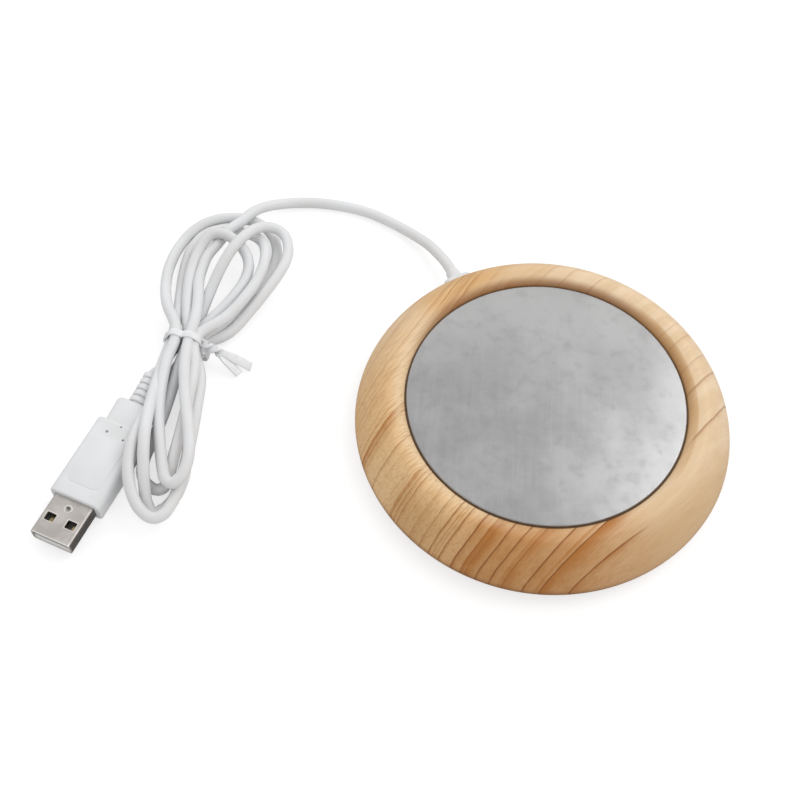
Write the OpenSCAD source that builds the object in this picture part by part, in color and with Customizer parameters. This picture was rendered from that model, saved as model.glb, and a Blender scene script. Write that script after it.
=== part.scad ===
// Electric mug warmer: a metal plate heated from below, set in a wood-grain ring and fed through a thin
// cord, which is wound into a tied hank and ends in a USB-A plug. It heats whenever it is plugged in.
// Millimetres, +Z up. The origin is on the table under the centre of the ring, and the front is towards -Y.

/* [Ring] */
// Widest diameter of the wood-grain ring
ring_d = 106; // [104:0.5:108]
// Height of the ring's crest above the table
ring_h = 17.2; // [16.8:0.1:18.4]
// Wall thickness of the moulded ring
ring_wall = 2.6; // [2.2:0.1:2.8]

/* [Heating plate] */
// Diameter of the metal plate
plate_d = 77.6; // [76:0.1:78.6]
// Thickness of the metal plate
plate_t = 1.5; // [1.2:0.1:1.6]
// Drop from the ring's crest to the face of the plate
plate_drop = 1.7; // [1.4:0.1:1.9]

/* [Base] */
// Thickness of the base cover
base_t = 2; // [1.8:0.1:2.2]
// Height of the base cover above the table
base_lift = 0.8; // [0.6:0.1:1]
// Diameter of each rubber foot
foot_d = 10; // [8:0.5:12]

/* [Cord] */
// Diameter of the cord
cord_d = 3.3; // [3.1:0.1:3.4]
// Depth of the bundle of turns where the hank is tied
hank_h = 10.2; // [9.4:0.1:10.4]

/* [Plug] */
// Width of the moulded grip
grip_w = 15.4; // [14:0.1:16]
// Thickness of the moulded grip
grip_t = 7.7; // [7:0.1:7.8]

/* [Hidden] */
$fn = 96;
gap = 0.05;                                // clearance between parts that only touch
eps = 0.01;                                // overlap of the solids that make one part

// Ring: heights and radii of its section
ring_r = ring_d / 2;
plate_r = plate_d / 2;
plate_z = ring_h - plate_drop;             // face of the plate
hole_r = plate_r + 0.4;                    // wall of the hole round the plate
crest_r = hole_r + 4.7;                    // radius at the crest
belly_z = 4.8;                             // height of the widest line
rim_r = ring_r - 2.8;                      // outer radius where the ring meets the base cover
rim_w = 2;                                 // width of the ring's bottom rim
lip_z = plate_z - 0.9;                     // where the rounded lip runs into the hole
flank_power = 1.37;                        // exponent that makes the outer flank a soft, full slope
gasket_t = 1.1;
seat_z = plate_z - plate_t - gasket_t - gap;   // ledge that carries the gasket and the plate
ledge_z = seat_z - 1.6;                    // underside of that ledge
ledge_r = plate_r - 2;                     // inner radius of the ledge
wall_r = hole_r + 2.4;                     // outer radius of the wall round the hole
boss_r = 44.6;                             // pitch radius of all screw bosses
boss_d = 6.4;
base_boss_h = 9;
retainer_boss_h = 3;

// Screws, each as [head diameter, head height, shank diameter]
base_screw = [4.8, 1, 2.4];
retainer_screw = [4, 1, 1.9];
clamp_screw = [3.8, 1, 1.9];

// Base and feet
base_top = base_lift + base_t;
base_r = rim_r - rim_w - 0.2;
foot_pocket = 0.8;
foot_pitch_r = 37;

// Cord: where it leaves the ring, and its height there
cord_az = 117;
cord_z = 5.2;
screw_az = [for (k = [0:3]) cord_az + 45 + 90 * k];
retainer_az = [for (k = [0:2]) cord_az + 60 + 120 * k];
foot_az = [0, 90, 180, 270];               // added to cord_az: rear, left, front, right

// Gland: it stands across the cord, from just inside the ring's wall to its small nose
gland_in = ring_r - ring_wall - 3.6;
flange_out = ring_r + 1.3;
nose_out = ring_r + 4;
gland_w = 9.6;
gland_h = 7.2;
neck_d = 6.4;

// Heater stack, downwards from the plate
film_t = 0.25;
track_t = 0.15;
film_z = plate_z - plate_t - film_t - gap / 2;
track_z = film_z - track_t;
pad_z = ledge_z + gap;
pad_t = track_z - gap - pad_z;
retainer_t = 1;
retainer_z = ledge_z - retainer_t;
window = [40, 10.8];                       // slot in pad and retainer for the cut-out and the wires
cutout_size = [15, 6.2, 3.4];
lead_z = film_z - 1.75;                    // height of the cut-out's leads
clip_rivet_y = 8.2;
wire_d = 1.3;
solder_h = 0.6;
wire_end_z = track_z - solder_h - 0.1;
pad_a = [10, 3.1];                         // the track's two ends, measured along and across the cord
pad_b = [12.6, -2];

// Cord clamp on the base cover, and the end of the cord's jacket
head_recess = 1.1;
clamp_x = 38;
clamp_post_y = 5.6;
clamp_size = [5, 16.4];
clamp_z = cord_z + 0.3;
clamp_t = 2.8;
jacket_x = 30;

// USB plug: it lies flat beside the hank, with its neck under the edge of the lower lobe
usb_tip = [-131.7, -42.9, grip_t / 2 + gap];
usb_yaw = 67.8;
shell_size = [18.7, 12, 4.5];
shell_wall = 0.3;
grip_x = 12.3;                             // front of the grip, behind the tip of the shell
shoulder_x = 37.8;
neck_x = 45.8;
neck_w = 11.8;
neck_t = 6.6;
relief_x = 56.6;                           // end of the strain relief
relief_d = 6.2;                            // its first, widest rib
core_end = 33;

// Hank: the waist where it is tied, and its two lobes as round-ended outlines [x, y, radius]
waist = [-104, 22];
waist_az = 80;
waist_w = 10.2;
waist_l = 18;
waist_z = 0.6;                             // the tie passes under the turns here
waist_top = waist_z + hank_h;
upper_lobe = [
    [-101.8, 30.3, 6.9], [-92, 28, 4], [-87, 40.3, 6.5], [-85.8, 56, 10.3], [-96.3, 60, 13],
    [-104.3, 50, 9.9]
];
lower_lobe = [[-103.8, 15.2, 5.1], [-106.2, -14, 9.2], [-106.6, -28.3, 8.2]];
hank_side = [                              // side view, along the hank from its waist
    [-62, gap], [-6, gap], [-3, waist_z], [3, waist_z], [6, gap], [56, gap],
    [56, 6], [42, 12.6], [28, 13], [14, 9.8], [3, waist_top],
    [-3, waist_top], [-14, 12], [-30, 13.6], [-44, 12.4], [-62, 6]
];
tie_w = 3;
tie_t = 0.5;

// Route of the free cord, from the gland up to the hank, and from the hank's waist into the plug
exit_dir = [cos(cord_az), sin(cord_az), 0];
exit_point = exit_dir * nose_out + [0, 0, cord_z];
lead_route = [
    exit_point,
    exit_point + exit_dir * 4,
    [-30.3, 58.5, 4.5],
    [-33.3, 62.6, 3.6],
    [-37, 66.2, 2.8],
    [-41, 69.6, 2.1],
    [-46, 72.9, 1.8],
    [-52, 76, 1.7],
    [-58, 77.9, 1.7],
    [-64, 79, 1.7],
    [-70, 79.5, 1.7],
    [-76, 79, 2],
    [-81, 77.5, 2.8],
    [-85, 75.5, 3.8],
    [-88.5, 72.5, 4.8],
    [-91, 69.5, 5.4]
];
function plug_point(x) = usb_tip + x * [cos(usb_yaw), sin(usb_yaw), 0];
tail_route = [
    plug_point(core_end + 4),
    plug_point(neck_x),
    plug_point(relief_x + 0.5),
    [-110, 13, 3.4],
    [-109, 17.5, 2.7]
];

// ---------------------------------------------------------------- shared shapes

// Outer outline of the ring's section, from the bottom rim over the crest to the lip at the hole.
function under_belly(a) = [rim_r + (ring_r - rim_r) * cos(a), belly_z - (belly_z - base_lift) * sin(a)];
function flank(a, r, h) = [
    crest_r + (r - crest_r) * pow(cos(a), flank_power),
    belly_z + (h - belly_z) * pow(sin(a), flank_power)
];
function lip(a) = [crest_r - (crest_r - hole_r) * sin(a), lip_z + (ring_h - lip_z) * cos(a)];
outer_outline = concat(
    [for (a = [90:-15:15]) under_belly(a)],
    [for (a = [0:5:85]) flank(a, ring_r, ring_h)],
    [for (a = [0:10:90]) lip(a)]
);

module ring_outside() {
    rotate_extrude() polygon(concat(outer_outline, [[0, lip_z], [0, base_lift]]));
}

// A rounded rectangle of the given size, centred on the origin.
module rounded_rect(size, r) {
    square([size[0] - 2 * r, size[1]], center = true);
    square([size[0], size[1] - 2 * r], center = true);
    for (x = [-1, 1], y = [-1, 1])
        translate([x * (size[0] / 2 - r), y * (size[1] / 2 - r)]) circle(r, $fn = 32);
}

// A tube swept along points, with one ring of `sides` corners at each point.
function unit(v) = v / norm(v);
function heading(p, i) = unit(p[min(i + 1, len(p) - 1)] - p[max(i - 1, 0)]);
function across(v) = unit(cross([0, 0, 1], v));
function ring_at(p, i, r, sides) =
    let (t = heading(p, i), u = across(t), w = cross(t, u))
    [for (k = [0:sides - 1]) p[i] + r * (cos(360 * k / sides) * u + sin(360 * k / sides) * w)];

module tube(points, d, sides = 8) {
    n = len(points);
    corners = [for (i = [0:n - 1]) each ring_at(points, i, d / 2, sides)];
    walls = [
        for (i = [0:n - 2], k = [0:sides - 1])
            let (a = i * sides + k, b = i * sides + (k + 1) % sides)
            each [[a, a + sides, b + sides], [a, b + sides, b]]
    ];
    first_cap = [for (k = [0:sides - 1]) k];
    last_cap = [for (k = [sides - 1:-1:0]) (n - 1) * sides + k];
    polyhedron(corners, concat([first_cap], walls, [last_cap]));
}

// A cross-head screw pointing up: its head hangs below z = 0 and its shank stands above.
module screw(size, length) {
    head_d = size[0];
    head_h = size[1];
    difference() {
        translate([0, 0, -head_h]) cylinder(d = head_d, h = head_h, $fn = 48);
        for (a = [0, 90])
            translate([0, 0, -head_h]) rotate(a)
                cube([head_d * 0.55, head_d * 0.12, head_h], center = true);
    }
    translate([0, 0, -eps]) cylinder(d = size[2], h = length + eps, $fn = 48);
}

module on_bosses(angles) {
    for (a = angles) rotate(a) translate([boss_r, 0, 0]) children();
}

// The cord's own direction inside the housing: +X runs outwards along the cord.
module along_cord() { rotate(cord_az) children(); }

module at_plug() { translate(usb_tip) rotate(usb_yaw) children(); }

// ---------------------------------------------------------------- ring, plate and gasket

module wood_grain_ring() {
    inner_outline = concat(
        [[hole_r, seat_z], [ledge_r, seat_z], [ledge_r, ledge_z], [wall_r, ledge_z]],
        [for (a = [85:-5:0]) flank(a, ring_r - ring_wall, ring_h - ring_wall)],
        [[rim_r - rim_w, base_top], [rim_r - rim_w, base_lift]]
    );
    color("burlywood") difference() {
        union() {
            rotate_extrude() polygon(concat(outer_outline, inner_outline));
            on_bosses(screw_az) translate([0, 0, base_top]) cylinder(d = boss_d, h = base_boss_h);
            on_bosses(retainer_az) translate([0, 0, ledge_z]) cylinder(d = boss_d, h = retainer_boss_h);
        }
        on_bosses(screw_az) translate([0, 0, base_top - 1])
            cylinder(d = base_screw[2] + 0.1, h = base_boss_h - 1);
        on_bosses(retainer_az) translate([0, 0, ledge_z - 1])
            cylinder(d = retainer_screw[2] + 0.1, h = retainer_boss_h + 0.6);
        along_cord() translate([crest_r, 0, cord_z]) rotate([0, 90, 0])
            cylinder(d = neck_d + 0.2, h = ring_r - crest_r + 3);
    }
}

module heating_plate() {
    edge = 0.25;
    color("silver") rotate_extrude() polygon([
        [0, plate_z - plate_t],
        [plate_r, plate_z - plate_t],
        [plate_r, plate_z - edge],
        [plate_r - edge, plate_z],
        [0, plate_z]
    ]);
}

module plate_gasket() {
    color("dimgray") rotate_extrude() polygon([
        [ledge_r + 0.1, seat_z + gap / 2],
        [hole_r - gap, seat_z + gap / 2],
        [hole_r - gap, plate_z - 0.5],
        [plate_r + gap, plate_z - 0.5],
        [plate_r + gap, plate_z - plate_t - gap / 2],
        [ledge_r + 0.1, plate_z - plate_t - gap / 2]
    ]);
}

// ---------------------------------------------------------------- heater stack

module heater_film() {
    color("darkorange") translate([0, 0, film_z]) cylinder(r = ledge_r - 0.6, h = film_t);
}

// One etched strip that runs to and fro in arcs, and comes back to its second pad through their gap.
module heater_track() {
    strip_w = 1.6;
    pitch = 4;
    gap_deg = 13;
    radii = [for (i = [0:4]) 15.5 + pitch * i];
    last = len(radii) - 1;
    color("chocolate") translate([0, 0, track_z]) along_cord() {
        for (i = [0:last])
            rotate_extrude(start = gap_deg, angle = 360 - gap_deg * (i == last ? 1 : 2))
                translate([radii[i] - strip_w / 2, 0]) square([strip_w, track_t]);
        for (i = [0:last - 1])
            rotate((i % 2 == 0 ? -1 : 1) * (gap_deg + 1.5))
                translate([radii[i], -strip_w / 2, 0]) cube([pitch, strip_w, track_t]);
        rotate(gap_deg + 2) translate([pad_a[0], -strip_w / 2, 0])
            cube([radii[0] - pad_a[0], strip_w, track_t]);
        translate([pad_b[0], -strip_w / 2, 0])
            cube([radii[last] + strip_w / 2 - pad_b[0], strip_w, track_t]);
        for (p = [pad_a, pad_b])
            translate([p[0], p[1], 0]) cylinder(d = 3, h = track_t);
    }
}

module solder_joints() {
    color("lightgray") along_cord() for (p = [pad_a, pad_b])
        translate([p[0], p[1], track_z - solder_h]) cylinder(d1 = 1.4, d2 = 2.4, h = solder_h);
}

module insulation_pad() {
    color("whitesmoke") along_cord() difference() {
        translate([0, 0, pad_z]) cylinder(r = ledge_r - 0.8, h = pad_t);
        cube([window[0], window[1], 3 * ring_h], center = true);
    }
}

module retainer_plate() {
    ear_w = 6;
    color("lightsteelblue") difference() {
        translate([0, 0, retainer_z]) linear_extrude(retainer_t) {
            circle(r = wall_r - 0.6);
            for (a = retainer_az) rotate(a) {
                translate([boss_r, 0]) circle(d = ear_w);
                translate([boss_r / 2, 0]) square([boss_r, ear_w], center = true);
            }
        }
        on_bosses(retainer_az) cylinder(d = retainer_screw[2] + 0.5, h = ring_h);
        along_cord() {
            cube([window[0], window[1], 3 * ring_h], center = true);
            for (y = [-1, 1]) translate([0, y * clip_rivet_y, 0]) cylinder(d = 1.6, h = ring_h);
        }
    }
}

module retainer_screws() {
    color("gainsboro") on_bosses(retainer_az)
        translate([0, 0, retainer_z]) screw(retainer_screw, retainer_t + 2.2);
}

module thermal_cutout() {
    color("gold") along_cord() {
        translate([-cutout_size[0] / 2, -cutout_size[1] / 2, film_z - gap - cutout_size[2]])
            cube(cutout_size);
        for (x = [-1, 1]) translate([x * (cutout_size[0] / 2 - 0.5), 0, lead_z])
            rotate([0, x * 90, 0]) cylinder(d = 0.9, h = 4.5);
    }
}

// Spring strip under the cut-out, held to the retainer plate by its two rivets.
module cutout_clip() {
    strip_t = 0.5;
    color("gray") along_cord() {
        translate([-2, -10, retainer_z - strip_t]) cube([4, 20, strip_t]);
        for (y = [-1, 1]) translate([0, y * clip_rivet_y, retainer_z - strip_t - 0.4]) {
            cylinder(d = 2.8, h = 0.4 + eps);
            cylinder(d = 1.5, h = 0.4 + strip_t + retainer_t);
        }
    }
}

// ---------------------------------------------------------------- base, feet and their screws

module base_cover() {
    saddle_w = 8;
    rib_w = 1.2;
    rib_h = 0.7;
    color("ivory") difference() {
        union() {
            translate([0, 0, base_lift]) cylinder(r = base_r, h = base_t);
            for (r = [14, 26])
                translate([0, 0, base_top - eps]) difference() {
                    cylinder(r = r, h = rib_h);
                    translate([0, 0, -1]) cylinder(r = r - rib_w, h = 3);
                }
            along_cord() {
                translate([clamp_x - clamp_size[0] / 2, -saddle_w / 2, base_top - eps])
                    cube([clamp_size[0], saddle_w, cord_z - cord_d / 2 - base_top - gap]);
                for (y = [-1, 1]) translate([clamp_x, y * clamp_post_y, base_top - eps])
                    cylinder(d = 4.6, h = clamp_z - base_top - gap + eps);
            }
        }
        for (a = foot_az) rotate(cord_az + a) translate([foot_pitch_r, 0, base_lift - eps])
            cylinder(d = foot_d + 0.2, h = foot_pocket + eps);
        on_bosses(screw_az) {
            cylinder(d = base_screw[2] + 0.4, h = base_top + 1);
            cylinder(d = base_screw[0] + 0.4, h = base_lift + head_recess);
        }
        along_cord() for (y = [-1, 1])
            translate([clamp_x, y * clamp_post_y, base_top - 0.6])
                cylinder(d = clamp_screw[2] + 0.1, h = clamp_z);
    }
}

module base_screws() {
    color("gainsboro") on_bosses(screw_az)
        translate([0, 0, base_lift + head_recess]) screw(base_screw, 7);
}

// A rubber pad in its pocket, rounded where it meets the table.
module foot(az) {
    edge = 0.3;
    r = foot_d / 2;
    h = base_lift + foot_pocket - gap;
    color("dimgray") rotate(cord_az + az) translate([foot_pitch_r, 0, 0])
        rotate_extrude() polygon([[0, 0], [r - edge, 0], [r, edge], [r, h], [0, h]]);
}
module foot_rear() { foot(foot_az[0]); }
module foot_left() { foot(foot_az[1]); }
module foot_front() { foot(foot_az[2]); }
module foot_right() { foot(foot_az[3]); }

// ---------------------------------------------------------------- cord inside the housing

module across_cord(size, r, length) {
    rotate([90, 0, 90]) linear_extrude(length) rounded_rect(size, r);
}

module cord_gland() {
    color("white") difference() {
        union() {
            difference() {
                along_cord() translate([rim_r, 0, cord_z])
                    across_cord([gland_w, gland_h], 2.4, flange_out - rim_r);
                ring_outside();
            }
            along_cord() {
                translate([gland_in, 0, cord_z]) across_cord([8.4, 4.6], 1.6, 1.5);
                translate([base_r + 0.2, 0, cord_z]) rotate([0, 90, 0])
                    cylinder(d = neck_d, h = flange_out - base_r - 0.2);
                translate([flange_out - eps, 0, cord_z]) rotate([0, 90, 0])
                    cylinder(d1 = 5, d2 = 4.2, h = nose_out - flange_out);
            }
        }
        along_cord() translate([0, 0, cord_z]) rotate([0, 90, 0])
            cylinder(d = cord_d + 2 * gap, h = 2 * ring_r);
    }
}

module cord_inside() {
    color("white") along_cord() translate([jacket_x, 0, cord_z]) rotate([0, 90, 0])
        cylinder(d = cord_d, h = nose_out - jacket_x);
}

module cord_clamp() {
    color("ivory") along_cord() difference() {
        translate([clamp_x - clamp_size[0] / 2, -clamp_size[1] / 2, clamp_z])
            cube([clamp_size[0], clamp_size[1], clamp_t]);
        translate([0, 0, cord_z]) rotate([0, 90, 0]) cylinder(d = cord_d + 2 * gap, h = 2 * ring_r);
        for (y = [-1, 1]) translate([clamp_x, y * clamp_post_y, 0])
            cylinder(d = clamp_screw[2] + 0.4, h = ring_h);
    }
}

module clamp_screws() {
    color("gainsboro") along_cord() for (y = [-1, 1])
        translate([clamp_x, y * clamp_post_y, clamp_z + clamp_t]) rotate([180, 0, 0])
            screw(clamp_screw, clamp_z + clamp_t - base_top + 0.4);
}

// Wires, as points [outwards along the cord, across it, height].
module wire(points) { along_cord() tube(points, wire_d, 8); }

module red_wire() {
    color("red") wire([
        [jacket_x - gap, 0.85, cord_z], [26, 1, cord_z + 0.2], [22, 1.6, 6.4], [19.2, 1.6, 8.8],
        [17.4, 1, 11], [15.4, 0.2, lead_z], [13.4, 0, lead_z], [12.1, 0, lead_z]
    ]);
}

module black_wire() {
    color("black") wire([
        [jacket_x - gap, -0.85, cord_z], [26, -1, cord_z], [22, -2.2, 5.6], [18.6, -3, 8],
        [17, -3.1, 10.6], [15.6, -2.8, 12.2], [pad_b[0] + 1.3, pad_b[1] - 0.5, wire_end_z]
    ]);
}

module link_wire() {
    color("khaki") wire([
        [-12.1, 0, lead_z], [-14, 0.1, lead_z], [-15.8, 0.9, lead_z], [-16.4, 2.3, lead_z],
        [-15.4, 3.8, lead_z], [-13.2, 4.4, lead_z], [-6, 4.4, lead_z], [4, 4.4, lead_z],
        [7.2, 4.2, 12.3], [pad_a[0] - 1.3, pad_a[1] + 0.5, wire_end_z]
    ]);
}

module sleeve(x) {
    color("darkslategray") along_cord() translate([x, 0, lead_z]) rotate([0, 90, 0]) difference() {
        cylinder(d = 2.4, h = 5, center = true);
        cylinder(d = wire_d + 0.1, h = 7, center = true);
    }
}
module red_sleeve() { sleeve(11.2); }
module link_sleeve() { sleeve(-11.2); }

// ---------------------------------------------------------------- free cord and its tie

module cord_lead() { color("white") tube(lead_route, cord_d, 8); }

module cord_tail() { color("white") tube(tail_route, cord_d, 8); }

// Room for the plug's grip, neck and strain relief, which the lower lobe rests on and beside.
module plug_clearance() {
    side_gap = 0.2;
    rooms = [                              // from x, to x, width, thickness
        [grip_x, shoulder_x, grip_w, grip_t],
        [shoulder_x, neck_x, neck_w, neck_t],
        [neck_x, relief_x, relief_d, relief_d]
    ];
    at_plug() for (room = rooms)
        translate([room[0] - side_gap, -room[2] / 2 - side_gap, -grip_w]) cube([
            room[1] - room[0] + 2 * side_gap,
            room[2] + 2 * side_gap,
            grip_w + room[3] / 2 + side_gap
        ]);
}

module lobe_outline(lobe) {
    hull() for (c = lobe) translate([c[0], c[1]]) circle(r = c[2], $fn = 32);
}

// The wound turns, as one closed body: their plan outline, cut to their side view.
module cord_hank() {
    reach = 60;
    color("white") difference() {
        intersection() {
            linear_extrude(reach) {
                lobe_outline(upper_lobe);
                lobe_outline(lower_lobe);
                translate(waist) rotate(waist_az) square([waist_l, waist_w], center = true);
            }
            translate(waist) rotate([90, 0, waist_az])
                linear_extrude(reach, center = true) polygon(hank_side);
        }
        plug_clearance();
    }
}

// Flat tie round the waist. Its twist slopes down to the right and ends in two splayed strips.
module twist_tie() {
    inner = [waist_w + 2 * gap, hank_h + 2 * gap];
    twist_start = 1.4;                     // above the middle of the bundle
    twist_l = 6.6;
    twist_drop = 22;
    strips = [                             // length, direction from the twist, slope downwards
        [9.2, -95, 16],
        [7.2, -120, 20]
    ];
    color("whitesmoke") translate([waist[0], waist[1], waist_z + hank_h / 2]) {
        rotate([90, 0, waist_az + 90]) difference() {
            linear_extrude(tie_w, center = true)
                rounded_rect([inner[0] + 2 * tie_t, inner[1] + 2 * tie_t], 1.2);
            linear_extrude(tie_w + 1, center = true) square(inner, center = true);
        }
        rotate(waist_az) translate([0, -inner[0] / 2 - tie_t / 2, twist_start]) rotate([90 + twist_drop, 0, 0]) {
            cylinder(d = 2.2, h = twist_l);
            translate([0, 0, twist_l - 1]) rotate([-90 - twist_drop, 0, 0]) for (strip = strips)
                rotate([0, 0, strip[1]]) rotate([0, strip[2], 0]) translate([0, -1.2, -tie_t / 2])
                    cube([strip[0], 2.4, tie_t]);
        }
    }
}

// ---------------------------------------------------------------- USB plug

// A block along the plug: plan size and section both rounded.
module plug_block(x0, x1, w, t, plan_r, edge_r) {
    intersection() {
        translate([(x0 + x1) / 2, 0, -t])
            linear_extrude(2 * t) rounded_rect([x1 - x0, w], plan_r);
        translate([x0 - 1, 0, 0]) rotate([90, 0, 90])
            linear_extrude(x1 - x0 + 2) rounded_rect([w, t], edge_r);
    }
}

module usb_overmould() {
    rib_pitch = 2.2;
    color("white") at_plug() difference() {
        union() {
            plug_block(grip_x, shoulder_x, grip_w, grip_t, 1.4, 1.8);
            plug_block(grip_x + 8, neck_x, neck_w, neck_t, 1.8, 2);
            translate([neck_x - 1, 0, 0]) rotate([0, 90, 0])
                cylinder(d1 = 5.2, d2 = 4.3, h = relief_x - neck_x + 1);
            for (i = [0:4]) translate([neck_x + 0.9 + rib_pitch * i, 0, 0]) rotate([0, 90, 0])
                cylinder(d1 = relief_d - 0.3 * i, d2 = relief_d - 0.2 - 0.3 * i, h = 1.3);
        }
        translate([grip_x - 1, -6.1, -2.35]) cube([core_end - grip_x + 1 + gap, 12.2, 4.7]);
        translate([core_end, 0, 0]) rotate([0, 90, 0]) cylinder(d = cord_d + 2 * gap, h = 40);
    }
}

module usb_core() {
    color("lightgray") at_plug() translate([shell_size[0] + gap, -6.05, -2.3])
        cube([core_end - shell_size[0] - gap, 12.1, 4.6]);
}

module usb_shell() {
    color("silver") at_plug() difference() {
        rotate([90, 0, 90]) linear_extrude(shell_size[0]) rounded_rect([shell_size[1], shell_size[2]], 0.6);
        translate([-1, 0, 0]) rotate([90, 0, 90]) linear_extrude(shell_size[0] + 2)
            rounded_rect([shell_size[1] - 2 * shell_wall, shell_size[2] - 2 * shell_wall], 0.35);
        for (y = [-3.2, 3.2]) translate([5.5, y, 0]) cube([2.4, 2.8, 9], center = true);
    }
}

module usb_tongue() {
    color("whitesmoke") at_plug() translate([0.3, -5.5, -1.9]) cube([shell_size[0] - 0.3, 11, 1.84]);
}

module usb_contacts() {
    color("gold") at_plug() for (y = [-3.5, -1, 1, 3.5])
        translate([abs(y) > 2 ? 1.6 : 2.6, y - 0.5, -0.05]) cube([abs(y) > 2 ? 15 : 14, 1, 0.25]);
}

// ---------------------------------------------------------------- output
wood_grain_ring();
heating_plate();
plate_gasket();
heater_film();
heater_track();
solder_joints();
insulation_pad();
retainer_plate();
retainer_screws();
thermal_cutout();
cutout_clip();
base_cover();
base_screws();
foot_rear();
foot_left();
foot_front();
foot_right();
cord_gland();
cord_inside();
cord_clamp();
clamp_screws();
red_wire();
black_wire();
link_wire();
red_sleeve();
link_sleeve();
cord_lead();
cord_hank();
cord_tail();
twist_tie();
usb_overmould();
usb_core();
usb_shell();
usb_tongue();
usb_contacts();
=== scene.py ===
from math import atan, cos, hypot, pi, radians, sin, sqrt

import bpy
from mathutils import Matrix, Vector


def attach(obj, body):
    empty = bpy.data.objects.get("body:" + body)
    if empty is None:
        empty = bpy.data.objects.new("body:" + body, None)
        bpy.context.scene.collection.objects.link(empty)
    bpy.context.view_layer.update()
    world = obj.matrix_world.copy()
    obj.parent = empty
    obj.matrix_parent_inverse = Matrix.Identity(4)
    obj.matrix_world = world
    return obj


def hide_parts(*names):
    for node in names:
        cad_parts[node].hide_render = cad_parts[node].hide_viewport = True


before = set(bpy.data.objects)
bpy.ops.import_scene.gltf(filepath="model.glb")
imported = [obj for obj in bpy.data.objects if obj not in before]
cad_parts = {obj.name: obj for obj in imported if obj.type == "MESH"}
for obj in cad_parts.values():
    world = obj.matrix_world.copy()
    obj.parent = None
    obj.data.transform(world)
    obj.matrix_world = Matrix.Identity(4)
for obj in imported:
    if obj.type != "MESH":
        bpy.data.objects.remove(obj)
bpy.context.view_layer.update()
MM = 0.001


# ---------------------------------------------------------------------------------------------
# Camera. It stands above and in front of the warmer and looks down at a steep angle, a little
# to the left of the ring, so that the whole hank and the plug are in view.

camera_data = bpy.data.cameras.new("camera")
camera_data.sensor_width = 36
camera_data.lens = 53.09
camera = bpy.data.objects.new("camera", camera_data)
bpy.context.scene.collection.objects.link(camera)
camera_place, camera_tilt, camera_roll = (-0.040395, -0.171541, 0.292670), 31.45, 1.97
camera.matrix_world = (
    Matrix.Translation(camera_place)
    @ Matrix.Rotation(radians(camera_tilt), 4, "X")
    @ Matrix.Rotation(radians(camera_roll), 4, "Z")
)
bpy.context.scene.camera = camera


# ---------------------------------------------------------------------------------------------
# Cord: a round white PVC cord, 3.3 mm thick and a metre long. It comes out of the gland, runs
# over the table to the hank, passes four times round through the tie and ends in the plug.
# Its turns were wound over the fingers, so every lobe of the hank has a length of its own.

cord_d = 3.3
cord_az = 117
cord_z = 5.2
nose_out = 57
exit_dir = Vector((cos(radians(cord_az)), sin(radians(cord_az)), 0))
exit_point = exit_dir * nose_out + Vector((0, 0, cord_z))

# The stretch from the gland to the hank, and on over the top of the turns into the tie.
lead_route = [
    exit_point - exit_dir * 1.5, exit_point + exit_dir * 4,
    (-30.3, 58.5, 4.5), (-33.3, 62.6, 3.6), (-37, 66.2, 2.8), (-41, 69.6, 2.1), (-46, 72.9, 1.8),
    (-52, 76, 1.7), (-58, 77.9, 1.7), (-64, 79, 1.7), (-70, 79.5, 1.7), (-76, 79, 2),
    (-81, 77.5, 2.8), (-85, 75.5, 3.8), (-88.5, 72.5, 4.8),
    (-92, 67.5, 5.6), (-95.5, 63, 6.4), (-98, 57.5, 7), (-100.5, 52.5, 7.3), (-101.5, 47.5, 7.6),
    (-102, 42, 7.9), (-101.5, 36.5, 8.2), (-101.2, 31, 8.5), (-101.5, 26, 8.8),
]
# Where the cord passes through the tie, first to last: (across the waist, height).
waist = Vector((-104, 22))
waist_az = 80
slots = [
    (2, 9.1), (-2.1, 9.1), (3.4, 4.9), (0.8, 2.2), (3.7, 2.2),
    (-3.7, 6.2), (3.7, 7.9), (1, 6.8), (-1.6, 4.6),
]
along_waist = Vector((cos(radians(waist_az)), sin(radians(waist_az))))
across_waist = Vector((sin(radians(waist_az)), -cos(radians(waist_az))))


def strand_in_tie(across, height):
    place = waist + across_waist * across
    return Vector((place.x, place.y, height))


# One lobe a row: its far point measured from the tie, how far its first and second leg bulge, how
# late each of them does, and its height at each quarter of the way.
lobes = [
    ((2.8, -48.8), (5.2, 0.6), (1.5, 0.8), (11.2, 9.2, 8.6)),
    ((12.2, 49.8), (13.3, 13.2), (0.8, 0.9), (2.3, 1.7, 1.8)),
    ((-3.4, -57.6), (6.1, 6.7), (0.5, 1.2), (5.1, 6.5, 10.5)),
    ((21.5, 42.2), (2.2, 11.5), (3, 0.6), (11.6, 6.8, 6.6)),
    ((-2.2, -54.5), (5.2, -0.1), (1.3, 0.7), (1.7, 2.5, 12.2)),
    ((9.3, 44.7), (7.8, 12.5), (1.6, 0.8), (1.7, 2, 8.1)),
    ((-4, -47.9), (3.2, 4.8), (0.5, 3.5), (7, 3.9, 3.1)),
    ((7.6, 37), (6.3, 12.3), (1, 0.9), (7.5, 9.8, 6.6)),
]
steps_per_lobe = 16
# The first leg's bulge hands over to the second's round the far end, while the cosine of the turn
# goes from this value to its opposite.
hand_over = 0.7


def smooth(x):
    return x * x * (3 - 2 * x)


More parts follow.
